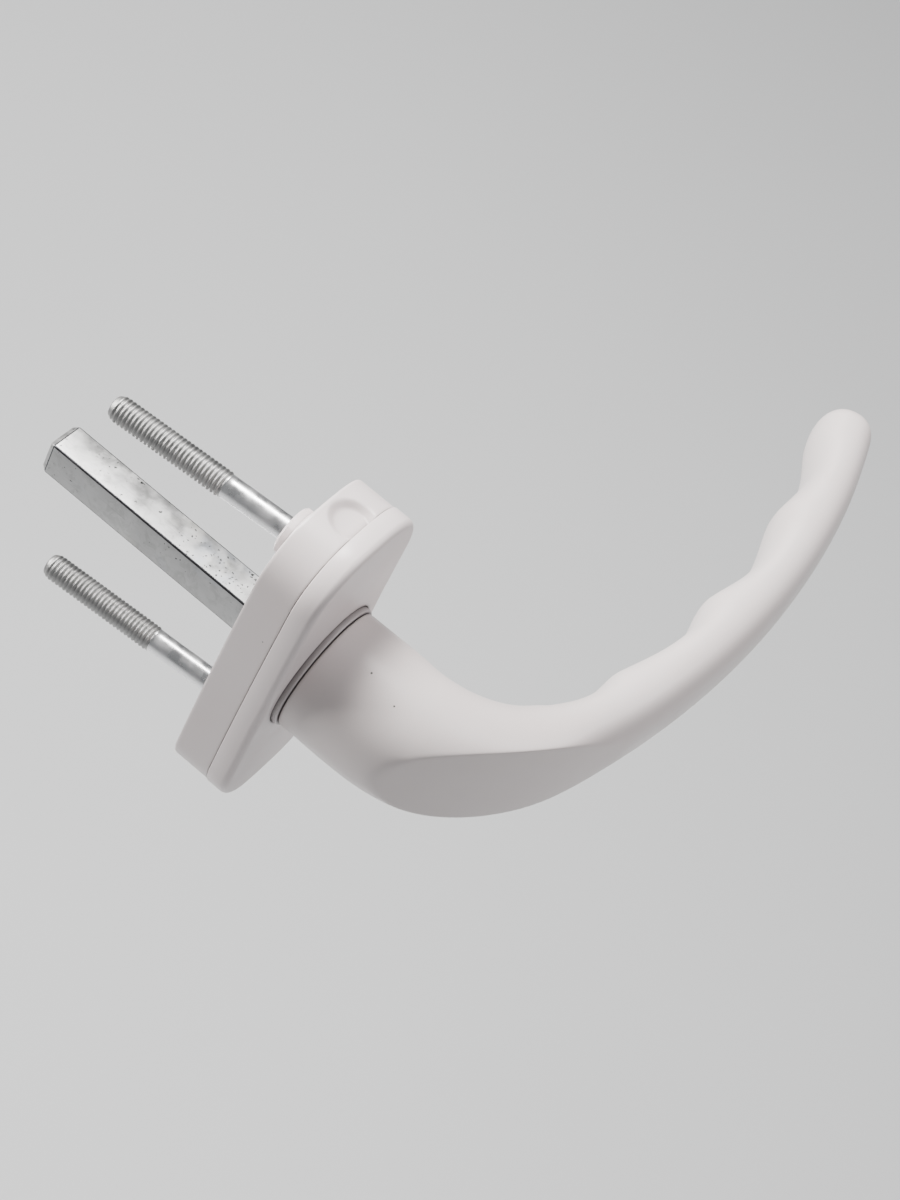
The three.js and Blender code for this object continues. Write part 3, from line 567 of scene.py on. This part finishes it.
def make_cover():
    bottom, top = COVER_BOTTOM, COVER_TOP
    rings = [outline_ring(COVER_WALL, bottom), outline_ring(0.16, bottom), outline_ring(0.05, bottom + 0.06)]
    rings.append(outline_ring(0, bottom + 0.18))
    rim = COVER_FACE - COVER_SHOULDER
    rings.append(outline_ring(0, rim - 0.6))
    for a in np.linspace(0, math.pi / 2, 10):
        inset = COVER_SHOULDER * (1 - math.cos(a))
        rings.append(cover_height(outline_ring(inset, 0), rim + COVER_SHOULDER * math.sin(a)))
    start, end = outline_ring(COVER_SHOULDER, 0), hole_ring(COVER_HOLE + 0.2, 0)
    for t in np.linspace(0.04, 1, 22):
        rings.append(cover_height((1 - t) * start + t * end, COVER_FACE))
    rings.append(hole_ring(COVER_HOLE + 0.06, top - 0.05))
    rings.append(hole_ring(COVER_HOLE, top - 0.2))
    rings.append(hole_ring(COVER_HOLE, COVER_CEILING))
    rings.append(outline_ring(COVER_WALL, COVER_CEILING))
    return from_rings("rose_cover", rings, [ROSE_WHITE], loop=True, sharp=50)


def make_collar():
    inner, outer, low, high = COLLAR_BORE, COLLAR_RADIUS, COLLAR_BOTTOM, COLLAR_TOP
    corners = [(inner, 9), (inner, low), (outer, low), (outer, high), (inner, high), (inner, 9)]
    profile = rounded_profile(corners, 0.3)[:-1]
    return turned("bearing_collar", profile, [COLLAR_GREY_AND_SHADE], 144, loop=True, sharp=50)


# ---------------------------------------------------------------- lever

BEND_RADIUS = 24.8
ARM_RADIUS = 192.0
ARM_APEX = (69.7, 57.5)
ARM_END_X = 127.6
ARM_CENTRE = ARM_APEX[1] - ARM_RADIUS
BEND_CENTRE = ARM_CENTRE + math.sqrt((ARM_RADIUS - BEND_RADIUS) ** 2 - (ARM_APEX[0] - BEND_RADIUS) ** 2)
MEET = math.atan2(BEND_CENTRE - ARM_CENTRE, BEND_RADIUS - ARM_APEX[0])
NECK = BEND_CENTRE - NECK_BOTTOM
BEND = (math.pi - MEET) * BEND_RADIUS
LENGTH = NECK + BEND + (MEET - math.acos((ARM_END_X - ARM_APEX[0]) / ARM_RADIUS)) * ARM_RADIUS
THICK = [(0, 11.9), (NECK, 11.9), (NECK + BEND / 2, 10.1), (NECK + BEND, 6.5), (NECK + BEND + 18, 5.8),
         (NECK + BEND + 85, 5.8), (LENGTH, 5.5)]
WIDE = [(0, 11.9), (NECK, 11.9), (NECK + BEND / 2, 11.0), (NECK + BEND, 9.9), (NECK + BEND + 18, 8.6),
        (NECK + BEND + 85, 8.6), (LENGTH, 7.4)]
# The grip's ridges and hollows in turn: place along X, and how far the inner side rises there.
GRIP = [(4, 0), (15, 1.1), (28, -0.75), (36.8, 0.4), (56.5, -1.5), (67.3, 0.5), (82.3, -2.05), (99.5, 0.15),
        (112.8, -1.9), (125, 0.35)]
GRIP_SHARPNESS = 1.3
TIP_LENGTH = 6.1
THUMB_WHEEL = (48.5, -13.4, 75.0)


def on_path(s):
    """Centre point and outward direction at distance s along the lever."""
    if s <= NECK:
        return np.array([0, NECK_BOTTOM + s]), np.array([-1.0, 0])
    if s <= NECK + BEND:
        a = math.pi - (s - NECK) / BEND_RADIUS
        centre, radius = np.array([BEND_RADIUS, BEND_CENTRE]), BEND_RADIUS
    else:
        a = MEET - (s - NECK - BEND) / ARM_RADIUS
        centre, radius = np.array([ARM_APEX[0], ARM_CENTRE]), ARM_RADIUS
    out = np.array([math.cos(a), math.sin(a)])
    return centre + radius * out, out


def through(stations, s):
    """Smooth curve through (distance, value) stations."""
    i = 0
    while i < len(stations) - 2 and s > stations[i + 1][0]:
        i += 1

    def slope(k):
        a, b = stations[max(k - 1, 0)], stations[min(k + 1, len(stations) - 1)]
        return (b[1] - a[1]) / (b[0] - a[0])

    (s0, v0), (s1, v1) = stations[i], stations[i + 1]
    t = min(max((s - s0) / (s1 - s0), 0), 1)
    ends = v0 * (2 * t**3 - 3 * t**2 + 1) + v1 * (3 * t**2 - 2 * t**3)
    return ends + (slope(i) * (t**3 - 2 * t**2 + t) + slope(i + 1) * (t**3 - t**2)) * (s1 - s0)


def grip_rise(x):
    """How far the inner side rises at x, along sine slopes between the ridges and hollows."""
    if x <= GRIP[0][0]:
        return GRIP[0][1]
    if x >= GRIP[-1][0]:
        return GRIP[-1][1]
    i = next(k for k, turn in enumerate(GRIP) if turn[0] > x)
    ridge, hollow = (GRIP[i - 1], GRIP[i]) if i % 2 == 0 else (GRIP[i], GRIP[i - 1])
    away = math.sin(math.pi / 2 * (x - ridge[0]) / (hollow[0] - ridge[0]))
    return ridge[1] + (hollow[1] - ridge[1]) * away**GRIP_SHARPNESS


def thumb_limit(centre, out):
    """How far out the thumb flat lets the section go."""
    x, height, radius = THUMB_WHEEL
    d = centre - np.array([x, height])
    b = float(d @ out)
    reach = -b + math.sqrt(b * b - float(d @ d) + radius**2)
    return reach + 0.06 * max(centre[0] - 27, 0) ** 2


def squeeze(values, squared):
    """Cosines and sines turned from those of a circle to those of a squarish oval."""
    return values * (1 - squared) + np.sign(values) * np.abs(values) ** (2 / 2.3) * squared


def lever_ring(s, scale=1.0, lead=0.0, half=40):
    """One ring round the lever. Its points crowd in at the crease beside the thumb flat."""
    centre, out = on_path(s)
    thick, wide = through(THICK, s), through(WIDE, s)
    squared = min(max((s - 15) / 25, 0), 1)
    limit = thumb_limit(centre, out)
    quarter = np.linspace(0, math.pi / 2, 90)
    reach = squeeze(np.cos(quarter), squared) * thick
    crease = np.interp(-limit, -reach, quarter) if limit < thick else 0
    crease = max(crease, 0.5)
    top = crease * np.sin(math.pi / 2 * np.arange(14) / 14)
    under = math.pi - (math.pi - crease) * np.sin(math.pi / 2 * np.linspace(1, 0, half - 14))
    angles = np.concatenate([top, under, -under[-2::-1], -top[:0:-1]])
    o = squeeze(np.cos(angles), squared) * thick
    blend = 0.16
    if limit < thick + 1:
        o = np.where(o > 0, -blend * np.logaddexp(-o / blend, -limit / blend), o)
    o = np.where(o < 0, o * (1 + grip_rise(centre[0]) / thick), o) * scale
    side = squeeze(np.sin(angles), squared) * wide * scale
    x = centre[0] + out[0] * o + out[1] * lead
    height = centre[1] + out[1] * o - out[0] * lead
    return np.c_[x, height, side]


def make_lever():
    rings = []
    for a in np.linspace(0, math.pi / 2, 5)[:-1]:
        ring = lever_ring(0.0, (11.5 + 0.4 * math.sin(a)) / 11.9)
        ring[:, 1] = NECK_FOOT + 0.4 - 0.4 * math.cos(a)
        rings.append(ring)
    for s in np.linspace(0.45, LENGTH, 190):
        rings.append(lever_ring(s))
    for a in np.linspace(0, math.pi / 2, 17)[1:-1]:
        rings.append(lever_ring(LENGTH, math.cos(a), TIP_LENGTH * math.sin(a)))
    lever = from_rings("lever_grip", rings, [COAT], sharp=60)
    hub = [(0.4, 0.6), (6.6, 0.6), (6.6, 1.5), (5.8, 1.5), (5.8, 2.4), (6.6, 2.4), (6.6, 8.6), (9.0, 8.6),
           (9.0, 15), (0.4, 15)]
    combine(lever, turned("hub", hub, [COAT], 96), "UNION")
    for side in (1, -1):
        combine(lever, block("flat", side * 6.7, 0, 2, 14, -0.1, 4.9, [COAT]), "DIFFERENCE")
    socket = block("socket", 0, 0, SOCKET_WIDTH, SOCKET_WIDTH, -1, SPINDLE_TOP + 1, [COAT])
    combine(lever, socket, "DIFFERENCE")
    hole = turned("grub_hole", [(GRUB_HOLE_RADIUS, 0), (GRUB_HOLE_RADIUS, 12)], [COAT], 64)
    lay_down = Matrix.Rotation(math.radians(90), 4, "X")
    hole.data.transform(Matrix.Translation((0, -GRUB_HEIGHT * MM, -2 * MM)) @ lay_down)
    combine(lever, hole, "DIFFERENCE")
    smooth(lever, 40)
    return lever


def block(name, x, z, width, length, low, high, materials):
    """A box between two heights."""
    corners = [(x + i * width / 2, z + j * length / 2) for i, j in ((1, 1), (-1, 1), (-1, -1), (1, -1))]
    return from_rings(name, [np.array([(cx, h, cz) for cx, cz in corners]) for h in (low, high)], materials)


# ---------------------------------------------------------------- spindle and screws

def square_ring(width, corner, height, steps=5):
    """A square with rounded corners, seen along the spindle."""
    half = width / 2 - corner
    points = []
    for quarter, (sx, sz) in enumerate(((1, 1), (-1, 1), (-1, -1), (1, -1))):
        for a in np.linspace(0, math.pi / 2, steps + 1) + quarter * math.pi / 2:
            points.append((sx * half + corner * math.cos(a), height, sz * half + corner * math.sin(a)))
    return np.array(points)


def make_spindle():
    width, corner, low, high = SPINDLE_WIDTH, SPINDLE_CORNER, -SPINDLE_END, SPINDLE_TOP
    rings = [square_ring(width - 1.3, 0.24, low), square_ring(width - 1.1, 0.26, low + 0.05)]
    rings += [square_ring(width - 0.22, 0.32, low + 0.8), square_ring(width, corner, low + SPINDLE_CHAMFER)]
    for h in np.linspace(low + 1.5, high - 1.2, 40):
        rings.append(square_ring(width, corner, h))
    rings += [square_ring(width, corner, high - 0.6), square_ring(width - 1.0, 0.26, high)]
    spindle = from_rings("spindle_bar", rings, [ZINC, PAINTED_DARK_EDGE], sharp=35)
    # The rounded corners and the end rim take the painted dark edge.
    for face in spindle.data.polygons:
        n = face.normal
        rolled = abs(n.y) < 0.5 and min(abs(n.x), abs(n.z)) > 0.15
        rim = (SPINDLE_END - SPINDLE_CHAMFER) * MM < face.center.y < (SPINDLE_END - 0.8) * MM
        if rolled or rim:
            face.material_index = 1
    return spindle


def thread_radius(depth, angle):
    """Radius of the screw at a depth beyond the mounting face and an angle round it."""
    wave = (depth / PITCH - angle / (2 * math.pi)) % 1.0
    rise = 0.5 - 0.5 * np.cos(2 * np.pi * wave)
    start = np.clip((depth - THREAD_START) / 0.9, 0, 1)
    end = np.clip((SCREW_TIP - 0.5 - depth) / 1.1, 0, 1)
    threaded = ROOT + (CREST - ROOT) * rise**0.8 * end
    point = np.clip((SCREW_TIP - depth) / 0.9, 0, 1)
    return (SHANK * (1 - start) + threaded * start) * (0.72 + 0.28 * np.sqrt(point))


def make_screw(name, side):
    n = 56
    angle = 2 * np.pi * np.arange(n) / n
    rings = []
    head = [(1.0, HEAD_TOP), (2.6, HEAD_TOP), (3.3, HEAD_TOP - 0.1), (3.9, HEAD_TOP - 0.42),
            (4.25, HEAD_TOP - 0.9), (4.38, HEAD_TOP - 1.5), (4.38, 4.5), (4.3, 4.34), (4.1, 4.3), (2.5, 4.3),
            (2.26, 4.2), (SHANK, 3.9)]
    for radius, height in head:
        rings.append(circle(radius, height, n))
    for height in (0.0, -5.0, -10.0, -15.0):
        rings.append(circle(SHANK, height, n))
    for depth in np.arange(THREAD_START, SCREW_TIP + 0.01, PITCH / 8):
        r = thread_radius(depth, angle)
        rings.append(np.c_[r * np.cos(angle), np.full(n, -depth), r * np.sin(angle)])
    screw = from_rings(name, rings, [SCREW_ZINC, SHADED_THREAD_ZINC], sharp=80)
    # faces past the thread's start take the darker thread tone, a painted dark reflection
    for face in screw.data.polygons:
        face.material_index = 1 if face.center.y > (THREAD_START + 0.3) * MM else 0
    for turn in (0, 90):
        wing = block("wing", 0, 0, 1.1, 4.4, HEAD_TOP - 1.5, HEAD_TOP + 1, [SCREW_ZINC])
        wing.data.transform(Matrix.Rotation(math.radians(turn), 4, "Y"))
        combine(screw, wing, "DIFFERENCE")
    smooth(screw, 60)
    lean_x = Matrix.Rotation(math.radians(SCREW_LEAN_X), 4, "X")
    lean_z = Matrix.Rotation(math.radians(SCREW_LEAN_Z), 4, "Z")
    pivot = Matrix.Translation((0, SCREW_PIVOT * MM, 0))
    there = Matrix.Translation((0, -SCREW_PIVOT * MM, side * SCREW_Z * MM))
    screw.data.transform(there @ lean_x @ lean_z @ pivot)
    return screw


# ---------------------------------------------------------------- detent

def make_ball(name, side):
    steps = [math.pi * k / 24 for k in range(1, 24)]
    profile = [(BALL_RADIUS * math.sin(a), DETENT_HEIGHT + BALL_RADIUS * math.cos(a)) for a in steps]
    return turned(name, profile, [STEEL], 40, z=BALL_REACH * side)


def make_spring(name, side):
    """Compression spring: open coils with closed, ground-looking ends."""
    steps, around = SPRING_TURNS * 30, 12
    b = 2 * np.pi * np.arange(around) / around
    along = np.sin(b)[:, None] * np.array([0, 0, 1.0])
    rings = []
    for i in range(steps + 1):
        t = i / steps
        a = 2 * math.pi * SPRING_TURNS * t
        open_part = min(max((t - 0.16) / 0.68, 0), 1)
        share = 0.12 * min(t / 0.16, 1) + 0.76 * open_part + 0.12 * max((t - 0.84) / 0.16, 0)
        z = SPRING_INNER + (SPRING_OUTER - SPRING_INNER) * share
        outward = np.array([math.cos(a), math.sin(a), 0.0])
        centre = SPRING_RADIUS * outward + np.array([0, DETENT_HEIGHT, side * z])
        rings.append(centre + SPRING_WIRE * (np.cos(b)[:, None] * outward + along))
    return from_rings(name, rings, [STEEL], sharp=60)


# ---------------------------------------------------------------- assembly

def add(obj, body, slot, *nodes):
    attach(obj, body)
    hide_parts(*nodes)


add(make_base(), "rose", "white_plastic", "base_plate")
add(make_collar(), "rose", "grey_plastic", "collar_bush")
add(make_cover(), "cover", "white_plastic", "cover_cap")
add(make_lever(), "handle", "coated_aluminium", "lever")
add(make_spindle(), "handle", "bright_zinc", "spindle")
for word, sign in (("upper", 1), ("lower", -1)):
    add(make_screw(f"fixing_screw_{word}_m5", sign), f"fixing_screw_{word}", "bright_zinc", f"screw_{word}")
    add(make_ball(f"ball_{word}_smooth", sign), f"ball_{word}", "plain_steel", f"detent_ball_{word}")
    add(make_spring(f"spring_{word}_coil", sign), "rose", "plain_steel", f"detent_spring_{word}")

steel_nodes = ["back_plate", "index_disc", "retaining_ring", "spindle_grub_screw"]
steel_nodes += [f"back_plate_rivet_{i}" for i in (1, 2, 3, 4)]
carried = {name: STEEL for name in steel_nodes}
carried |= {name: NYLON for name in ("friction_washer", "thrust_washer", "cover_slide_ring")}
for name, look in carried.items():
    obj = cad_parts[name]
    for slot in obj.material_slots:
        slot.material = look
    edge = obj.modifiers.new("edge", "BEVEL")
    edge.width = 0.06 * MM
    edge.segments = 2
    edge.limit_method = "ANGLE"
    edge.angle_limit = math.radians(40)
    edge.harden_normals = True


# ---------------------------------------------------------------- floor, light and camera

def floor_material():
    made, tree, shader = material("pale_floor", (0.68, 0.69, 0.7), 0.8)
    where = place(tree)
    drift = ramp(tree, noise(tree, where, 3, 3), 0.3, 0.7)
    colour = mix_colour(tree, drift, (0.68, 0.69, 0.7), (0.66, 0.67, 0.68))
    tree.links.new(colour, shader.inputs["Base Color"])
    return made


CAMERA_PLACE = Vector((-0.3038, -0.0926, 0.3612))
RIGHT = Vector((0.54447, -0.76341, 0.34750))
UP = Vector((0.50291, 0.62868, 0.59316))
BACK = Vector((-0.67129, -0.14819, 0.72623))


def make_floor():
    """A wide level sheet, well below the part, which hangs in the air as it does on its sash."""
    half, level = 4.0, -0.36
    corners = [(half * i, half * j, level) for i, j in ((-1, -1), (1, -1), (1, 1), (-1, 1))]  # metres
    floor = new_object("floor", corners, [(0, 1, 2, 3)], [floor_material()])


def make_light(name, offset, size, watts, colour):
    """An area light at an offset along (right, up, back) of the view, aimed at the part."""
    data = bpy.data.lights.new(name, "AREA")
    data.shape = "RECTANGLE"
    data.size, data.size_y = size
    data.energy = watts
    data.color = colour
    lamp = bpy.data.objects.new(name, data)
    bpy.context.scene.collection.objects.link(lamp)
    target = Vector((0.03, -0.02, 0.0))
    lamp.location = target + RIGHT * offset[0] + UP * offset[1] + BACK * offset[2]
    lamp.rotation_euler = (target - lamp.location).to_track_quat("-Z", "Y").to_euler()


def make_camera():
    data = bpy.data.cameras.new("camera")
    data.lens = 86.05
    data.sensor_width = 36
    data.clip_start = 0.01
    camera = bpy.data.objects.new("camera", data)
    bpy.context.scene.collection.objects.link(camera)
    turn = Matrix((RIGHT, UP, BACK)).transposed().to_4x4()
    camera.matrix_world = Matrix.Translation(CAMERA_PLACE) @ turn
    bpy.context.scene.camera = camera


make_floor()
make_camera()
make_light("key", (0.04, 0.86, 0.36), (0.36, 0.36), 21.5, (1.0, 0.985, 0.965))
make_light("near_top", (-0.22, 0.2, 0.1), (0.18, 0.18), 1.6, (1.0, 0.985, 0.965))
make_light("right", (0.34, 0.1, 0.16), (0.2, 0.3), 0.8, (1.0, 0.98, 0.99))
make_light("low_front", (0.25, -0.6, 0.6), (0.5, 0.5), 0.7, (1.0, 0.98, 1.0))

world = bpy.data.worlds.new("studio")
world.use_nodes = True
world.node_tree.nodes["Background"].inputs["Color"].default_value = (0.88, 0.9, 0.92, 1)
world.node_tree.nodes["Background"].inputs["Strength"].default_value = 0.22
bpy.context.scene.world = world
